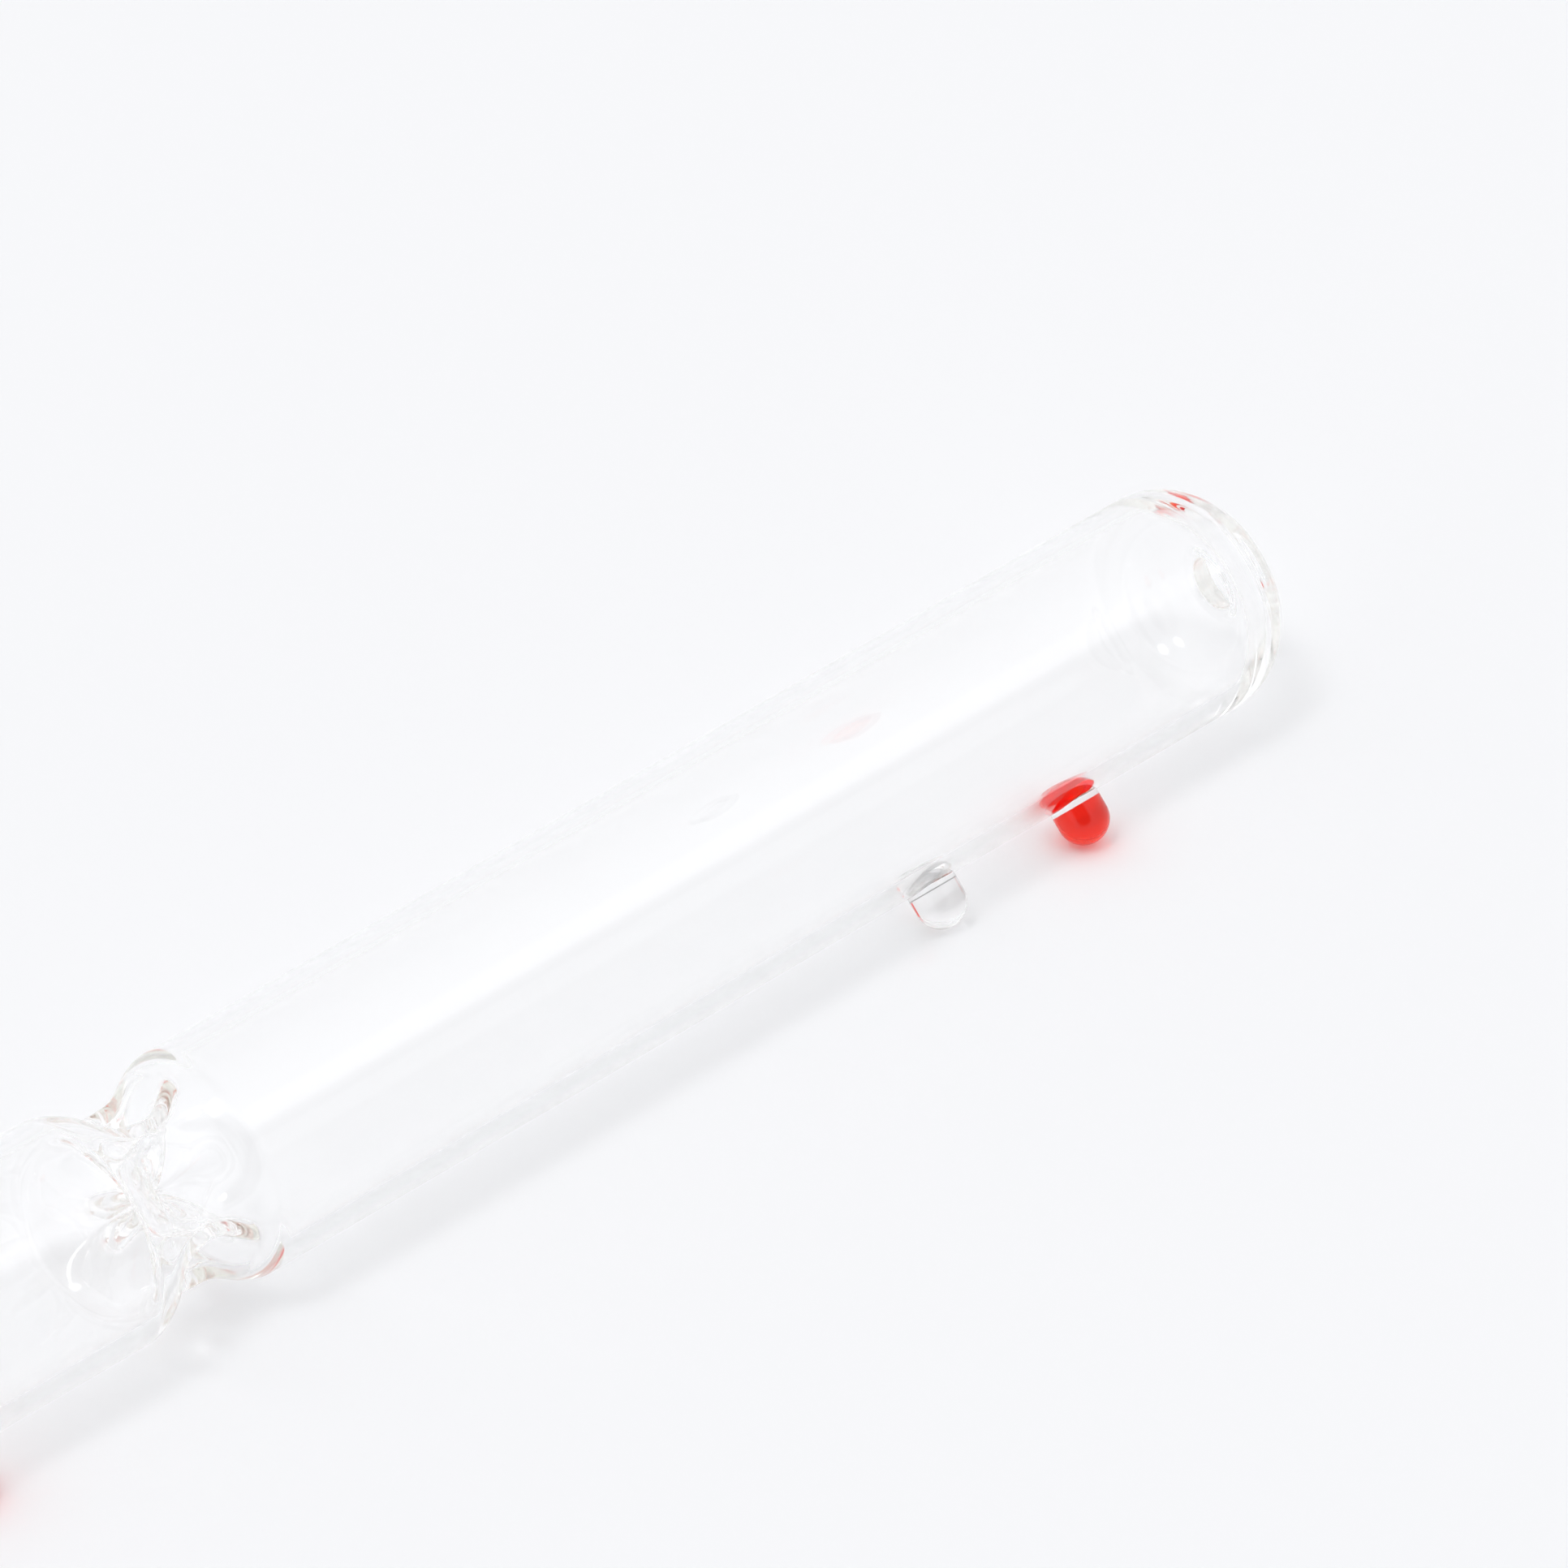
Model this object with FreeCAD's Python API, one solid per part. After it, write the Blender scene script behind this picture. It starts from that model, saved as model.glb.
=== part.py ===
"""Clear glass tube with a pinched waist, lying on its side on four round-ended feet.

Frame: millimetres, +Z up, +X along the tube's axis toward the small mouth.  The origin is
the centre of the mouth's hole in the plane of the rounded end, so only the lip lies at
positive X.  The tube rests on its own lowest line and on the row of feet.
"""
import FreeCAD
import Part
import math
import os

V = FreeCAD.Vector

# Stock tube
TUBE_OUTER_R = 12.5
TUBE_WALL = 2.0
TUBE_INNER_R = TUBE_OUTER_R - TUBE_WALL
TUBE_LENGTH = 237.0

# Small mouth: a low rounded lip on a thick rounded shoulder
MOUTH_HOLE_R = 3.0
LIP_OUTER_R = 4.1
LIP_HEIGHT = 1.5
LIP_ROOT_FLARE = 0.8
SHOULDER_ROUND_R = 8.0
SHOULDER_END_WALL = 3.4
SHOULDER_INNER_ROUND_R = 6.5
HOLE_INNER_EDGE_R = 0.8

# Pinched waist: a ring of dimples pressed in until the walls meet on the axis
PINCH_FROM_MOUTH = 151.0
PINCH_HALF_LENGTH = 9.5
DIMPLE_COUNT = 5
DIMPLE_BOTTOM_OUTER = 2.6
DIMPLE_BOTTOM_INNER = 0.25
DIMPLE_REACH_OUTER = 6.3
DIMPLE_REACH_INNER = 8.0
CREST_DIP = 0.19
CREST_FLAT_HALF = 2.0
CREST_REACH = 8.0
RIDGE_SHARPNESS = 2.5
PINCH_STATIONS = 21
HOLLOW_POWER_OUTER = 2.0
HOLLOW_POWER_INNER = 1.2
POINTS_PER_HALF_LOBE = 10
RIDGE_POINT_BIAS = 1.8

# Open front end, fire polished
FRONT_RIM_LENGTH = 3.0
FRONT_RIM_ROUND_R = 0.95

# Round-ended feet, all on one line along the tube
FOOT_R = 2.8
FOOT_CENTRE_FROM_AXIS = 14.4
FOOT_OUTER_FROM_END = 33.0
FOOT_INNER_FROM_END = 53.4


def foot_angle():
    """Angle of the row of feet round the tube, from +Y toward +Z, so that they touch the floor."""
    from_straight_down = math.acos((TUBE_OUTER_R - FOOT_R) / FOOT_CENTRE_FROM_AXIS)
    return -math.pi / 2.0 - from_straight_down


def ring(outer_r, inner_r, x_start, x_end):
    """Straight piece of tube between two stations."""
    length = x_end - x_start
    outside = Part.makeCylinder(outer_r, length, V(x_start, 0, 0), V(1, 0, 0))
    inside = Part.makeCylinder(inner_r, length, V(x_start, 0, 0), V(1, 0, 0))
    return outside.cut(inside)


def turned(edges):
    """Solid turned about the X axis from a closed profile drawn in the XZ plane."""
    face = Part.Face(Part.Wire(edges))
    return face.revolve(V(0, 0, 0), V(1, 0, 0), 360)


def line(start, end):
    """Profile line between two (x, radius) points."""
    return Part.makeLine(V(start[0], 0, start[1]), V(end[0], 0, end[1]))


def arc(centre, radius, start_deg, end_deg):
    """Profile arc given by centre (x, radius), its own radius and its two end angles."""
    angles = [start_deg, (start_deg + end_deg) / 2.0, end_deg]
    points = []
    for angle in angles:
        turn = math.radians(angle)
        points.append(V(centre[0] + radius * math.cos(turn), 0, centre[1] + radius * math.sin(turn)))
    return Part.Arc(points[0], points[1], points[2]).toShape()


def arc_end(centre, radius, angle_deg):
    """(x, radius) point on a profile arc."""
    turn = math.radians(angle_deg)
    return (centre[0] + radius * math.cos(turn), centre[1] + radius * math.sin(turn))


def make_shoulder():
    """Rounded end of the tube, closed except for the mouth's hole."""
    x_face = 0.0
    x_start = x_face - SHOULDER_ROUND_R
    x_inner_face = x_face - SHOULDER_END_WALL
    outer = (x_start, TUBE_OUTER_R - SHOULDER_ROUND_R)
    inner = (x_inner_face - SHOULDER_INNER_ROUND_R, TUBE_INNER_R - SHOULDER_INNER_ROUND_R)
    edge = (x_inner_face + HOLE_INNER_EDGE_R, MOUTH_HOLE_R + HOLE_INNER_EDGE_R)
    edges = [
        line((inner[0], TUBE_OUTER_R), arc_end(outer, SHOULDER_ROUND_R, 90)),
        arc(outer, SHOULDER_ROUND_R, 90, 0),
        line(arc_end(outer, SHOULDER_ROUND_R, 0), (x_face, MOUTH_HOLE_R)),
        line((x_face, MOUTH_HOLE_R), arc_end(edge, HOLE_INNER_EDGE_R, 270)),
        arc(edge, HOLE_INNER_EDGE_R, 270, 180),
        line(arc_end(edge, HOLE_INNER_EDGE_R, 180), arc_end(inner, SHOULDER_INNER_ROUND_R, 0)),
        arc(inner, SHOULDER_INNER_ROUND_R, 0, 90),
        line(arc_end(inner, SHOULDER_INNER_ROUND_R, 90), (inner[0], TUBE_OUTER_R)),
    ]
    return turned(edges), inner[0]


def make_lip():
    """Low round-edged lip raised round the hole."""
    edge_r = (LIP_OUTER_R - MOUTH_HOLE_R) / 2.0
    rim = (LIP_HEIGHT - edge_r, MOUTH_HOLE_R + edge_r)
    flare = (LIP_ROOT_FLARE, LIP_OUTER_R + LIP_ROOT_FLARE)
    edges = [
        line((0.0, MOUTH_HOLE_R), arc_end(flare, LIP_ROOT_FLARE, 180)),
        arc(flare, LIP_ROOT_FLARE, 180, 270),
        line(arc_end(flare, LIP_ROOT_FLARE, 270), arc_end(rim, edge_r, 90)),
        arc(rim, edge_r, 90, -90),
        line(arc_end(rim, edge_r, -90), (0.0, MOUTH_HOLE_R)),
    ]
    return turned(edges)


def make_front_rim(x_end):
    """Last few millimetres of the open end, with its cut edge melted round."""
    x_round = x_end + FRONT_RIM_ROUND_R
    outer = (x_round, TUBE_OUTER_R - FRONT_RIM_ROUND_R)
    inner = (x_round, TUBE_INNER_R + FRONT_RIM_ROUND_R)
    x_start = x_end + FRONT_RIM_LENGTH
    edges = [
        line((x_start, TUBE_OUTER_R), arc_end(outer, FRONT_RIM_ROUND_R, 90)),
        arc(outer, FRONT_RIM_ROUND_R, 90, 180),
        line(arc_end(outer, FRONT_RIM_ROUND_R, 180), arc_end(inner, FRONT_RIM_ROUND_R, 180)),
        arc(inner, FRONT_RIM_ROUND_R, 180, 270),
        line(arc_end(inner, FRONT_RIM_ROUND_R, 270), (x_start, TUBE_INNER_R)),
        line((x_start, TUBE_INNER_R), (x_start, TUBE_OUTER_R)),
    ]
    return turned(edges)


def smooth_rise(fraction):
    """Rises from 0 to 1 with level ends."""
    clipped = min(max(fraction, 0.0), 1.0)
    return clipped * clipped * (3.0 - 2.0 * clipped)


def lobed_radius(from_ridge, full_r, bottom_r, hollow_power):
    """Radius of the pinched section at an angle from the nearest ridge."""
    hollow = abs(math.sin(DIMPLE_COUNT * from_ridge / 2.0)) ** hollow_power
    power = RIDGE_SHARPNESS
    depth = bottom_r ** -power - full_r ** -power
    return (full_r ** -power + hollow ** power * depth) ** (-1.0 / power)


def ring_angles():
    """Angles round one whole section, crowded toward the ridges where the curve turns fastest."""
    lobe = 2.0 * math.pi / DIMPLE_COUNT
    angles = []
    for index in range(DIMPLE_COUNT):
        middle = index * lobe
        for step in range(1 - POINTS_PER_HALF_LOBE, POINTS_PER_HALF_LOBE + 1):
            share = abs(step) / POINTS_PER_HALF_LOBE
            swing = 0.5 * lobe * share ** RIDGE_POINT_BIAS
            angles.append(middle + math.copysign(swing, step))
    return angles


def crest_scale(offset):
    """How far the ridges themselves are drawn in at a distance from the middle of the waist."""
    rise = smooth_rise((abs(offset) - CREST_FLAT_HALF) / (CREST_REACH - CREST_FLAT_HALF))
    return 1.0 - CREST_DIP * (1.0 - rise)


def pinch_section(x, offset, full_r, deepest, reach, hollow_power):
    """One closed section of the waist."""
    first_ridge = foot_angle() - math.pi / 2.0 + math.pi / DIMPLE_COUNT
    crest_r = full_r * crest_scale(offset)
    bottom_r = min(deepest + (full_r - deepest) * smooth_rise(abs(offset) / reach), crest_r)
    points = []
    for angle in ring_angles():
        radius = lobed_radius(angle, crest_r, bottom_r, hollow_power)
        turn = first_ridge + angle
        points.append(V(x, radius * math.cos(turn), radius * math.sin(turn)))
    knots = [float(number) for number in range(len(points) + 1)]
    curve = Part.BSplineCurve()
    curve.interpolate(Points=points, PeriodicFlag=True, Parameters=knots)
    return Part.Wire(curve.toShape())


def pinch_skin(x_centre, full_r, deepest, reach, hollow_power):
    """Closed skin of the waist: a stack of lobed sections, round again at both ends."""
    sections = []
    for index in range(PINCH_STATIONS):
        offset = PINCH_HALF_LENGTH * (2.0 * index / (PINCH_STATIONS - 1) - 1.0)
        sections.append(pinch_section(x_centre + offset, offset, full_r, deepest, reach, hollow_power))
    return Part.makeLoft(sections, True, False)


def make_pinch(x_centre):
    """Pinched waist with its star-shaped air passage."""
    outside = pinch_skin(x_centre, TUBE_OUTER_R, DIMPLE_BOTTOM_OUTER, DIMPLE_REACH_OUTER, HOLLOW_POWER_OUTER)
    inside = pinch_skin(x_centre, TUBE_INNER_R, DIMPLE_BOTTOM_INNER, DIMPLE_REACH_INNER, HOLLOW_POWER_INNER)
    return outside.cut(inside)


def make_foot(x_centre):
    """Round-ended stub melted onto the tube: the part of it that stands outside the tube."""
    turn = foot_angle()
    outward = V(0, math.cos(turn), math.sin(turn))
    edges = [
        line((0.0, 0.0), (0.0, FOOT_R)),
        line((0.0, FOOT_R), (FOOT_CENTRE_FROM_AXIS, FOOT_R)),
        arc((FOOT_CENTRE_FROM_AXIS, 0.0), FOOT_R, 90, 0),
        line((FOOT_CENTRE_FROM_AXIS + FOOT_R, 0.0), (0.0, 0.0)),
    ]
    stub = turned(edges)
    stub.Placement = FreeCAD.Placement(V(x_centre, 0, 0), FreeCAD.Rotation(V(1, 0, 0), outward))
    length = 4.0 * FOOT_R
    tube = Part.makeCylinder(TUBE_OUTER_R, length, V(x_centre - length / 2.0, 0, 0), V(1, 0, 0))
    return stub.cut(tube)


def build():
    """Every solid of the part by node name."""
    shoulder, x_shoulder = make_shoulder()
    x_mouth = LIP_HEIGHT
    x_pinch = x_mouth - PINCH_FROM_MOUTH
    x_end = x_mouth - TUBE_LENGTH
    x_waist_low = x_pinch - PINCH_HALF_LENGTH
    x_waist_high = x_pinch + PINCH_HALF_LENGTH
    solids = {
        "mouth_lip": make_lip(),
        "shoulder": shoulder,
        "chamber_tube": ring(TUBE_OUTER_R, TUBE_INNER_R, x_waist_high, x_shoulder),
        "pinched_waist": make_pinch(x_pinch),
        "front_tube": ring(TUBE_OUTER_R, TUBE_INNER_R, x_end + FRONT_RIM_LENGTH, x_waist_low),
        "front_rim": make_front_rim(x_end),
        "rear_red_foot": make_foot(x_mouth - FOOT_OUTER_FROM_END),
        "rear_clear_foot": make_foot(x_mouth - FOOT_INNER_FROM_END),
        "front_red_foot": make_foot(x_end + FOOT_INNER_FROM_END),
        "front_clear_foot": make_foot(x_end + FOOT_OUTER_FROM_END),
    }
    return solids


os.makedirs("parts", exist_ok=True)
for node, solid in build().items():
    solid.exportStep("parts/" + node + ".step")
    box = solid.BoundBox
    print(node, solid.isValid(), len(solid.Solids), round(solid.Volume, 1), box)
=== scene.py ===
"""Looks of the clear glass tube: one continuous skin with four round-ended feet, on a pale tabletop.

Metres, +Z up, +X along the tube toward the small mouth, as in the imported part.
"""

import bmesh
import bpy
import math
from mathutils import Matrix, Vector


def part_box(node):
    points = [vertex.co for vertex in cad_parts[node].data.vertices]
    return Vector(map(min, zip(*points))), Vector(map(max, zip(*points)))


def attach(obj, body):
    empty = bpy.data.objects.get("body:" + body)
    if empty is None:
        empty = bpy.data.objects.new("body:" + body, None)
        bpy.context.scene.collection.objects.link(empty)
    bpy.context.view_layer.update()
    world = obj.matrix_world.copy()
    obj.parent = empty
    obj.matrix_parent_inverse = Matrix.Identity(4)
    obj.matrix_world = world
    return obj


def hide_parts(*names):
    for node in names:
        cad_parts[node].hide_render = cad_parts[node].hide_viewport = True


MM = 0.001

# Dimensions the glass skin shares with the part
DIMPLE_COUNT = 5
DIMPLE_BOTTOM_OUTER = 2.6 * MM
DIMPLE_BOTTOM_INNER = 0.25 * MM
DIMPLE_REACH_OUTER = 6.3 * MM
DIMPLE_REACH_INNER = 8.0 * MM
CREST_DIP = 0.19
CREST_FLAT_HALF = 2.0 * MM
CREST_REACH = 8.0 * MM
RIDGE_SHARPNESS = 2.5
HOLLOW_POWER_OUTER = 2.0
HOLLOW_POWER_INNER = 1.2
SHOULDER_ROUND = 8.0 * MM
SHOULDER_INNER_ROUND = 6.5 * MM
SHOULDER_END_WALL = 3.4 * MM
TUBE_WALL = 2.0 * MM
MOUTH_HOLE_R = 3.0 * MM
LIP_OUTER_R = 4.1 * MM
LIP_ROOT_FLARE = 0.8 * MM
HOLE_INNER_EDGE = 0.8 * MM
FRONT_EDGE_ROUND = 0.95 * MM

# How finely the skin is drawn
AROUND = 360
RIDGE_CROWDING = 1.8
CROWDING_FADE = (8.5 * MM, 9.5 * MM)
FRONT_POINTS = 24
WAIST_POINTS = 121
CHAMBER_POINTS = 40
FRONT_EDGE_STEPS = 8
SHOULDER_STEPS = 40
SHOULDER_INNER_STEPS = 36
LIP_ROOT_STEPS = 10
LIP_EDGE_STEPS = 20
HOLE_EDGE_STEPS = 8
FOOT_AROUND = 96
FOOT_STEPS = 32
SAME_POINT = 1e-7
SHARP_EDGE = math.radians(35)

# Feet: a clear stub fused to the skin, a core inside it, and a thin seam where a clear foot was joined
FOOT_ROOT_IN_WALL = 0.9 * MM
CORE_INSET = 0.03 * MM
CORE_FROM_TUBE = 0.44 * MM
SEAM_THICKNESS = 0.12 * MM

# Glass: the cores bend light hardly at all, because the skin round them has bent it already
SKIN_IOR = 1.474
CORE_IOR = 1.03
SEAM_IOR = 1.0
WHITE = (1.0, 1.0, 1.0)
RED = (0.995, 0.45, 0.25)
CLEAR_DEPTH_COLOR = (0.50, 0.60, 0.15)
RED_DEPTH_COLOR = (0.995, 0.16, 0.0)
SEAM_DEPTH_COLOR = (0.2, 0.2, 0.2)
CLEAR_DENSITY = 0.3
RED_DENSITY = 700.0
SEAM_DENSITY = 200.0

# Tabletop
TABLE_COLOR = (0.918, 0.920, 0.928)
TABLE_SIZE = 8.0
TABLE_BELOW_GLASS = 0.02 * MM

# Surroundings: white, a little brighter high up but not over the mouth's end, and dim where the camera
# stands. A strong lamp high on the left casts the shadow, and a faint one makes the tube's long streak.
SURROUNDINGS_COLOR = (0.985, 0.988, 1.0)
HORIZON_LEVEL = 0.955
SKY_LEVEL = 1.11
SKY_RISE = (0.03, 0.45)
LAMP_SIDE = Vector((-0.40, -0.01, 0.90))
LAMP_EDGE = (0.989, 0.9975)
LAMP_STRENGTH = 8.5
FAR_SIDE = Vector((1.0, 0.0, 0.0))
FAR_EDGE = (0.20, 0.45)
STREAK_SIDE = Vector((0.537, -0.374, 0.756))
STREAK_EDGE = (0.981, 0.993)
STREAK_STRENGTH = 0.26
DARK_SIDE = Vector((-0.54, -0.60, 0.60))
DARK_EDGE = (0.80, 0.93)
DARK_SHARE = 0.80
UP = Vector((0.0, 0.0, 1.0))

# Camera
CAMERA_HEADING = math.radians(47.0)
CAMERA_ELEVATION = math.radians(38.0)
CAMERA_TARGET = Vector((-61.1, 3.0, 2.8)) * MM
CAMERA_DISTANCE = 1.2
CAMERA_LENS = 269.7
CAMERA_SENSOR = 36.0
CAMERA_CLIP = (0.01, 100.0)

# Light bounces along inside the glass many times before it comes out
MOST_BOUNCES = 300


def smooth_rise(fraction):
    """Rises from 0 to 1 with level ends."""
    clipped = min(max(fraction, 0.0), 1.0)
    return clipped * clipped * (3.0 - 2.0 * clipped)


def lobed_radius(from_ridge, full_r, bottom_r, hollow_power):
    """Radius of the pinched section at an angle from the nearest ridge."""
    hollow = abs(math.sin(DIMPLE_COUNT * from_ridge / 2.0)) ** hollow_power
    power = RIDGE_SHARPNESS
    depth = bottom_r ** -power - full_r ** -power
    return (full_r ** -power + hollow ** power * depth) ** (-1.0 / power)


def arc(centre_x, centre_r, radius, start_deg, end_deg, steps):
    """Profile points (x, r) along an arc, both ends included."""
    points = []
    for step in range(steps + 1):
        turn = math.radians(start_deg + (end_deg - start_deg) * step / steps)
        points.append((centre_x + radius * math.cos(turn), centre_r + radius * math.sin(turn)))
    return points


def spaced(start, end, count):
    """Evenly spaced values, both ends included."""
    return [start + (end - start) * step / (count - 1) for step in range(count)]


class Tube:
    """Main sizes of the glass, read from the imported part."""

    def __init__(self):
        low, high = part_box("chamber_tube")
        self.outer_r = (high.z - low.z) / 2.0
        self.inner_r = self.outer_r - TUBE_WALL
        waist_low, waist_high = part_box("pinched_waist")
        self.waist_x = (waist_low.x + waist_high.x) / 2.0
        self.waist_half = (waist_high.x - waist_low.x) / 2.0
        self.front_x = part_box("front_rim")[0].x
        self.mouth_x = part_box("mouth_lip")[1].x
        self.face_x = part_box("mouth_lip")[0].x
        self.floor_z = low.z
        foot_low, foot_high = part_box("rear_red_foot")
        self.foot_r = (foot_high.x - foot_low.x) / 2.0


def outside_profile(tube):
    """Outer skin from the front edge to the mouth, as (x, r)."""
    start_x = tube.front_x + FRONT_EDGE_ROUND
    waist_start = tube.waist_x - tube.waist_half
    waist_end = tube.waist_x + tube.waist_half
    shoulder_x = tube.face_x - SHOULDER_ROUND
    path = arc(start_x, tube.outer_r - FRONT_EDGE_ROUND, FRONT_EDGE_ROUND, 180, 90, FRONT_EDGE_STEPS)
    path += [(x, tube.outer_r) for x in spaced(start_x, waist_start, FRONT_POINTS)[1:]]
    path += [(x, tube.outer_r) for x in spaced(waist_start, waist_end, WAIST_POINTS)[1:]]
    path += [(x, tube.outer_r) for x in spaced(waist_end, shoulder_x, CHAMBER_POINTS)[1:]]
    path += arc(shoulder_x, tube.outer_r - SHOULDER_ROUND, SHOULDER_ROUND, 90, 0, SHOULDER_STEPS)[1:]
    flare_x = tube.face_x + LIP_ROOT_FLARE
    path += arc(flare_x, LIP_OUTER_R + LIP_ROOT_FLARE, LIP_ROOT_FLARE, 180, 270, LIP_ROOT_STEPS)
    edge = (LIP_OUTER_R - MOUTH_HOLE_R) / 2.0
    path += arc(tube.mouth_x - edge, MOUTH_HOLE_R + edge, edge, 90, -90, LIP_EDGE_STEPS)
    return path


def inside_profile(tube):
    """Inner skin from the mouth's hole back to the front edge, as (x, r)."""
    inner_face = tube.face_x - SHOULDER_END_WALL
    hole_edge_x = inner_face + HOLE_INNER_EDGE
    hole_edge_r = MOUTH_HOLE_R + HOLE_INNER_EDGE
    shoulder_x = inner_face - SHOULDER_INNER_ROUND
    shoulder_r = tube.inner_r - SHOULDER_INNER_ROUND
    waist_start = tube.waist_x + tube.waist_half
    waist_end = tube.waist_x - tube.waist_half
    end_x = tube.front_x + FRONT_EDGE_ROUND
    path = arc(hole_edge_x, hole_edge_r, HOLE_INNER_EDGE, 270, 180, HOLE_EDGE_STEPS)
    path += arc(shoulder_x, shoulder_r, SHOULDER_INNER_ROUND, 0, 90, SHOULDER_INNER_STEPS)
    path += [(x, tube.inner_r) for x in spaced(shoulder_x, waist_start, CHAMBER_POINTS)[1:]]
    path += [(x, tube.inner_r) for x in spaced(waist_start, waist_end, WAIST_POINTS)[1:]]
    path += [(x, tube.inner_r) for x in spaced(waist_end, end_x, FRONT_POINTS)[1:]]
    path += arc(end_x, tube.inner_r + FRONT_EDGE_ROUND, FRONT_EDGE_ROUND, 270, 180, FRONT_EDGE_STEPS)[1:]
    return path


def crest_scale(offset):
    """How far the ridges themselves are drawn in at a distance from the middle of the waist."""
    rise = smooth_rise((offset - CREST_FLAT_HALF) / (CREST_REACH - CREST_FLAT_HALF))
    return 1.0 - CREST_DIP * (1.0 - rise)


def pinched(tube, x, radius, from_ridge, is_inside):
    """Radius of the skin after the dimples are pressed in."""
    offset = abs(x - tube.waist_x)
    if offset >= max(CREST_REACH, DIMPLE_REACH_INNER, DIMPLE_REACH_OUTER):
        return radius
    reach = DIMPLE_REACH_INNER if is_inside else DIMPLE_REACH_OUTER
    deepest = DIMPLE_BOTTOM_INNER if is_inside else DIMPLE_BOTTOM_OUTER
    crest = radius * crest_scale(offset)
    bottom = min(deepest + (radius - deepest) * smooth_rise(offset / reach), crest)
    hollow_power = HOLLOW_POWER_INNER if is_inside else HOLLOW_POWER_OUTER
    return lobed_radius(from_ridge, crest, bottom, hollow_power)


def ring_angles(offset):
    """Angles round the tube from a ridge, crowded toward the ridges in the waist and even elsewhere."""
    fade_start, fade_end = CROWDING_FADE
    crowded = 1.0 - smooth_rise((offset - fade_start) / (fade_end - fade_start))
    power = 1.0 + (RIDGE_CROWDING - 1.0) * crowded
    lobe = 2.0 * math.pi / DIMPLE_COUNT
    half_steps = AROUND // DIMPLE_COUNT // 2
    angles = []
    for index in range(DIMPLE_COUNT):
        for step in range(1 - half_steps, half_steps + 1):
            swing = 0.5 * lobe * (abs(step) / half_steps) ** power
            angles.append(index * lobe + math.copysign(swing, step))
    return angles


def foot_turn():
    """Angle of the row of feet round the tube, from +Y toward +Z."""
    low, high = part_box("rear_red_foot")
    tube_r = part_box("chamber_tube")[1].z
    radius = (high.x - low.x) / 2.0
    centre = Vector((0.0, low.y + radius, -tube_r + radius))
    return math.atan2(centre.z, centre.y)


def make_body(tube):
    """The tube with its waist, shoulder and lip as one closed skin."""
    path = [(x, r, False) for x, r in outside_profile(tube)]
    path += [(x, r, True) for x, r in inside_profile(tube)]
    first_dimple = foot_turn() - math.pi / 2.0
    ridge = first_dimple + math.pi / DIMPLE_COUNT
    vertices = []
    for x, radius, is_inside in path:
        for angle in ring_angles(abs(x - tube.waist_x)):
            reach = pinched(tube, x, radius, angle, is_inside)
            turn = ridge + angle
            vertices.append((x, reach * math.cos(turn), reach * math.sin(turn)))
    faces = []
    rows = len(path)
    around = len(vertices) // rows
    for row in range(rows):
        after = (row + 1) % rows
        for column in range(around):
            beside = (column + 1) % around
            faces.append((row * around + column, row * around + beside,
                          after * around + beside, after * around + column))
    mesh = bpy.data.meshes.new("glass_body")
    mesh.from_pydata(vertices, [], faces)
    mesh.update()
    body = bpy.data.objects.new("glass_body", mesh)
    bpy.context.scene.collection.objects.link(body)
    bm = bmesh.new()
    bm.from_mesh(mesh)
    bmesh.ops.remove_doubles(bm, verts=bm.verts, dist=SAME_POINT)
    bmesh.ops.recalc_face_normals(bm, faces=bm.faces)
    bm.to_mesh(mesh)
    bm.free()
    return body


def foot_frame(tube, node):
    """Foot's centre, its outward direction and the distance of its centre from the tube's axis."""
    low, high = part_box(node)
    turn = foot_turn()
    outward = Vector((0.0, math.cos(turn), math.sin(turn)))
    centre = Vector(((low.x + high.x) / 2.0, low.y + tube.foot_r, tube.floor_z + tube.foot_r))
    return centre, outward, outward.dot(centre)


def stub_mesh(tube, node, name, rings, material):
    """Closed turned solid on one foot's axis, from rings of (distance from the tube's axis, radius)."""
    centre, outward, centre_r = foot_frame(tube, node)
    side = Vector((1.0, 0.0, 0.0))
    other = outward.cross(side)
    bm = bmesh.new()
    rows = []
    for distance, ring_r in rings:
        middle = centre + outward * (distance - centre_r)
        row = []
        for step in range(FOOT_AROUND):
            angle = 2.0 * math.pi * step / FOOT_AROUND
            row.append(bm.verts.new(middle + (side * math.cos(angle) + other * math.sin(angle)) * ring_r))
        rows.append(row)
    bm.faces.new(rows[0])
    bm.faces.new(rows[-1])
    for near, far in zip(rows, rows[1:]):
        for step in range(FOOT_AROUND):
            after = (step + 1) % FOOT_AROUND
            bm.faces.new((near[step], near[after], far[after], far[step]))
    bmesh.ops.recalc_face_normals(bm, faces=bm.faces)
    mesh = bpy.data.meshes.new(name)
    bm.to_mesh(mesh)
    bm.free()
    mesh.materials.append(material)
    mesh.polygons.foreach_set("use_smooth", [True] * len(mesh.polygons))
    mesh.set_sharp_from_angle(angle=SHARP_EDGE)
    stub = bpy.data.objects.new(name, mesh)
    bpy.context.scene.collection.objects.link(stub)
    return stub


def make_foot(tube, node, name, radius, root_r, material):
    """Round-ended stub of one foot, with its root at a distance from the tube's axis."""
    centre_r = foot_frame(tube, node)[2]
    rings = [(root_r, radius)]
    for step in range(FOOT_STEPS):
        lift = 0.5 * math.pi * step / FOOT_STEPS
        rings.append((centre_r + radius * math.sin(lift), radius * math.cos(lift)))
    return stub_mesh(tube, node, name, rings, material)


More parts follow.
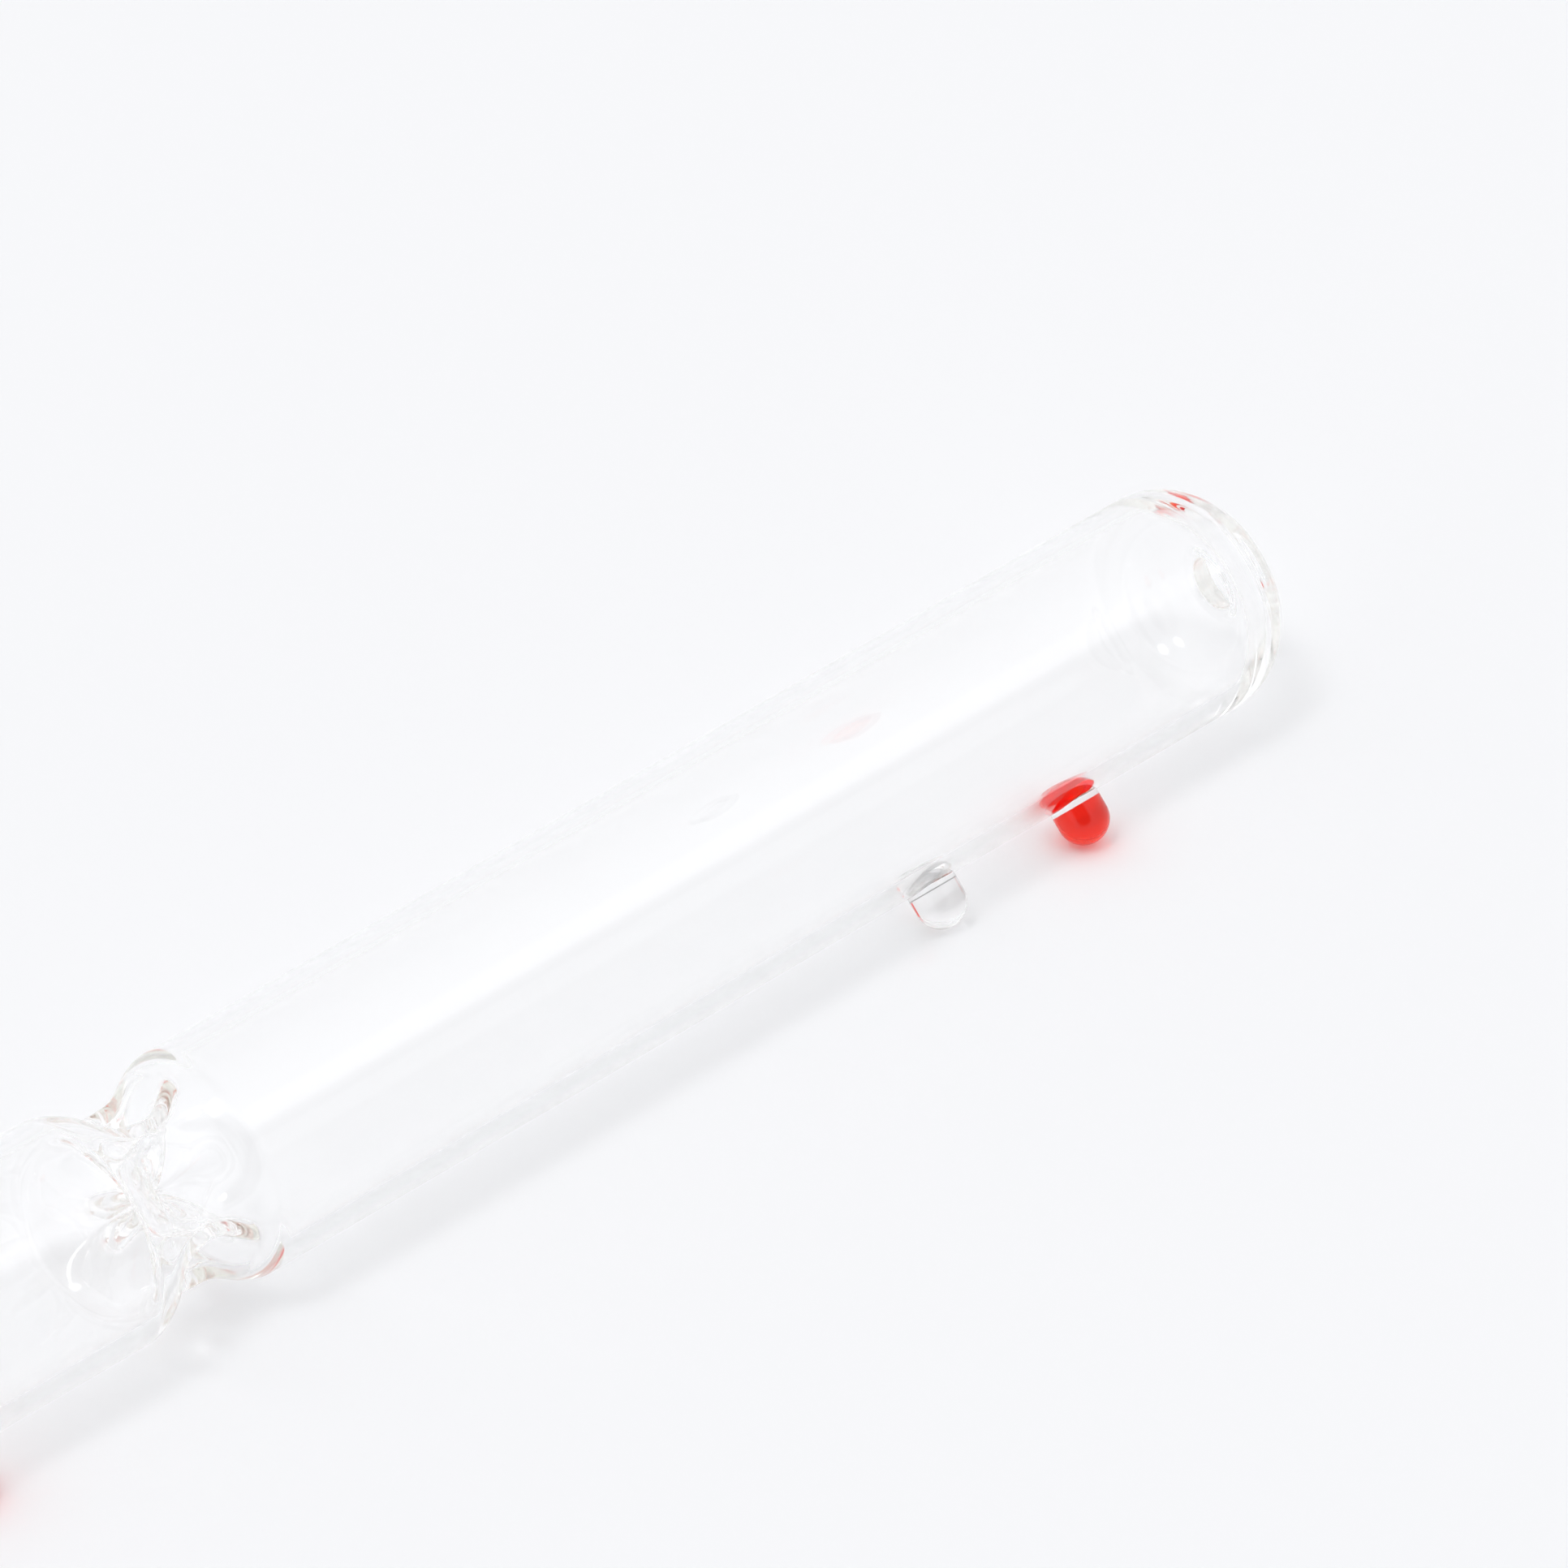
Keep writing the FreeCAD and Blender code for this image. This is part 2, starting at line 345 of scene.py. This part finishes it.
def make_seam(tube, node, radius, root_r, material):
    """Thin melt line where a foot was joined to the tube."""
    rings = [(root_r - SEAM_THICKNESS, radius), (root_r, radius)]
    return stub_mesh(tube, node, node + "_seam", rings, material)


def fuse(body, stubs):
    """Melts the stubs into the body so that no skin is left between them."""
    for stub in stubs:
        joined = body.modifiers.new("fuse_" + stub.name, "BOOLEAN")
        joined.operation = "UNION"
        joined.solver = "EXACT"
        joined.object = stub
    graph = bpy.context.evaluated_depsgraph_get()
    mesh = bpy.data.meshes.new_from_object(body.evaluated_get(graph))
    body.modifiers.clear()
    body.data = mesh
    for stub in stubs:
        bpy.data.objects.remove(stub, do_unlink=True)
    mesh.polygons.foreach_set("use_smooth", [True] * len(mesh.polygons))
    mesh.set_sharp_from_angle(angle=SHARP_EDGE)
    mesh.update()


def glass(name, color, ior, density, depth_color):
    """Refracting glass that takes up light along its depth."""
    material = bpy.data.materials.new(name)
    material.use_nodes = True
    nodes = material.node_tree.nodes
    shader = nodes["Principled BSDF"]
    shader.inputs["Base Color"].default_value = (*color, 1.0)
    shader.inputs["Roughness"].default_value = 0.0
    shader.inputs["IOR"].default_value = ior
    shader.inputs["Transmission Weight"].default_value = 1.0
    depth = nodes.new("ShaderNodeVolumeAbsorption")
    depth.inputs["Color"].default_value = (*depth_color, 1.0)
    depth.inputs["Density"].default_value = density
    material.node_tree.links.new(depth.outputs["Volume"], nodes["Material Output"].inputs["Volume"])
    return material


def make_floor(tube):
    """Pale tabletop."""
    material = bpy.data.materials.new("tabletop")
    material.use_nodes = True
    shader = material.node_tree.nodes["Principled BSDF"]
    shader.inputs["Base Color"].default_value = (*TABLE_COLOR, 1.0)
    shader.inputs["Roughness"].default_value = 1.0
    shader.inputs["Specular IOR Level"].default_value = 0.0
    bpy.ops.mesh.primitive_plane_add(size=TABLE_SIZE, location=(0, 0, tube.floor_z - TABLE_BELOW_GLASS))
    floor = bpy.context.object
    floor.name = "tabletop"
    floor.data.materials.append(material)


def make_world():
    """Even white surroundings with two lamps, and a dim side behind the camera."""
    world = bpy.data.worlds.new("studio")
    bpy.context.scene.world = world
    world.use_nodes = True
    nodes = world.node_tree.nodes
    links = world.node_tree.links
    background = nodes["Background"]
    background.inputs["Color"].default_value = (*SURROUNDINGS_COLOR, 1.0)
    direction = nodes.new("ShaderNodeTexCoord").outputs["Generated"]

    def math_node(operation, first, second):
        node = nodes.new("ShaderNodeMath")
        node.operation = operation
        for socket, value in zip(node.inputs, (first, second)):
            if isinstance(value, float):
                socket.default_value = value
            else:
                links.new(value, socket)
        return node.outputs["Value"]

    def facing(side):
        node = nodes.new("ShaderNodeVectorMath")
        node.operation = "DOT_PRODUCT"
        node.inputs[1].default_value = side.normalized()
        links.new(direction, node.inputs[0])
        return node.outputs["Value"]

    def smooth_step(value, start, end, amount):
        node = nodes.new("ShaderNodeMapRange")
        node.interpolation_type = "SMOOTHSTEP"
        node.inputs["From Min"].default_value = start
        node.inputs["From Max"].default_value = end
        node.inputs["To Max"].default_value = amount
        links.new(value, node.inputs["Value"])
        return node.outputs["Result"]

    dark = smooth_step(facing(DARK_SIDE), *DARK_EDGE, DARK_SHARE)
    rise = smooth_step(facing(UP), *SKY_RISE, SKY_LEVEL - HORIZON_LEVEL)
    near = math_node("SUBTRACT", 1.0, smooth_step(facing(FAR_SIDE), *FAR_EDGE, 1.0))
    level = math_node("ADD", HORIZON_LEVEL, math_node("MULTIPLY", rise, near))
    level = math_node("MULTIPLY", level, math_node("SUBTRACT", 1.0, dark))
    level = math_node("ADD", level, smooth_step(facing(LAMP_SIDE), *LAMP_EDGE, LAMP_STRENGTH))
    level = math_node("ADD", level, smooth_step(facing(STREAK_SIDE), *STREAK_EDGE, STREAK_STRENGTH))
    links.new(level, background.inputs["Strength"])


def make_camera():
    """Long lens looking down along the tube toward its rounded end."""
    data = bpy.data.cameras.new("camera")
    camera = bpy.data.objects.new("camera", data)
    bpy.context.scene.collection.objects.link(camera)
    level = math.cos(CAMERA_ELEVATION)
    forward = Vector((level * math.cos(CAMERA_HEADING),
                      level * math.sin(CAMERA_HEADING),
                      -math.sin(CAMERA_ELEVATION)))
    data.sensor_width = CAMERA_SENSOR
    data.lens = CAMERA_LENS
    data.clip_start, data.clip_end = CAMERA_CLIP
    camera.location = CAMERA_TARGET - forward * CAMERA_DISTANCE
    camera.rotation_mode = "QUATERNION"
    camera.rotation_quaternion = forward.to_track_quat("-Z", "Y")
    bpy.context.scene.camera = camera


def set_rendering():
    """Plain colours, and glass followed until the light is out of it."""
    scene = bpy.context.scene
    scene.view_settings.view_transform = "Standard"
    scene.view_settings.look = "None"
    scene.cycles.max_bounces = MOST_BOUNCES
    scene.cycles.transmission_bounces = MOST_BOUNCES
    scene.cycles.glossy_bounces = MOST_BOUNCES
    scene.cycles.caustics_refractive = True
    scene.cycles.caustics_reflective = True
    scene.cycles.use_denoising = True
    scene.cycles.blur_glossy = 0.0


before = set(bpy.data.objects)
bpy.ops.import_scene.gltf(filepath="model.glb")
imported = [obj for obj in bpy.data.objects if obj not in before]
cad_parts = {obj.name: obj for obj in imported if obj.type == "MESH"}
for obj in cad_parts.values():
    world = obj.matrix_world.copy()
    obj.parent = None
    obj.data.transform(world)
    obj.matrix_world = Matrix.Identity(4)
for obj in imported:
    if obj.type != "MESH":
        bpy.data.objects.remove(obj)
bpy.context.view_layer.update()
tube = Tube()
clear = glass("clear_glass", WHITE, SKIN_IOR, CLEAR_DENSITY, CLEAR_DEPTH_COLOR)
seam_glass = glass("seam_glass", WHITE, SEAM_IOR, SEAM_DENSITY, SEAM_DEPTH_COLOR)
core_glass = {
    "red_glass": glass("red_glass", RED, CORE_IOR, RED_DENSITY, RED_DEPTH_COLOR),
    "clear_glass": glass("clear_core_glass", WHITE, CORE_IOR, CLEAR_DENSITY, CLEAR_DEPTH_COLOR),
}
foot_slots = {
    "rear_red_foot": "red_glass",
    "rear_clear_foot": "clear_glass",
    "front_red_foot": "red_glass",
    "front_clear_foot": "clear_glass",
}
body = make_body(tube)
body.data.materials.append(clear)
root_r = tube.outer_r - FOOT_ROOT_IN_WALL
stubs = [make_foot(tube, node, node + "_stub", tube.foot_r, root_r, clear) for node in foot_slots]
fuse(body, stubs)
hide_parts(*[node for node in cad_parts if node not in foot_slots])
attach(body, "root")
core_r = tube.foot_r - CORE_INSET
core_root_r = tube.outer_r + CORE_FROM_TUBE
for node, slot in foot_slots.items():
    core = make_foot(tube, node, node + "_core", core_r, core_root_r, core_glass[slot])
    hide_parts(node)
    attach(core, "root")
    if slot == "clear_glass":
        seam = make_seam(tube, node, core_r, core_root_r, seam_glass)
        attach(seam, "root")
make_floor(tube)
make_world()
make_camera()
set_rendering()
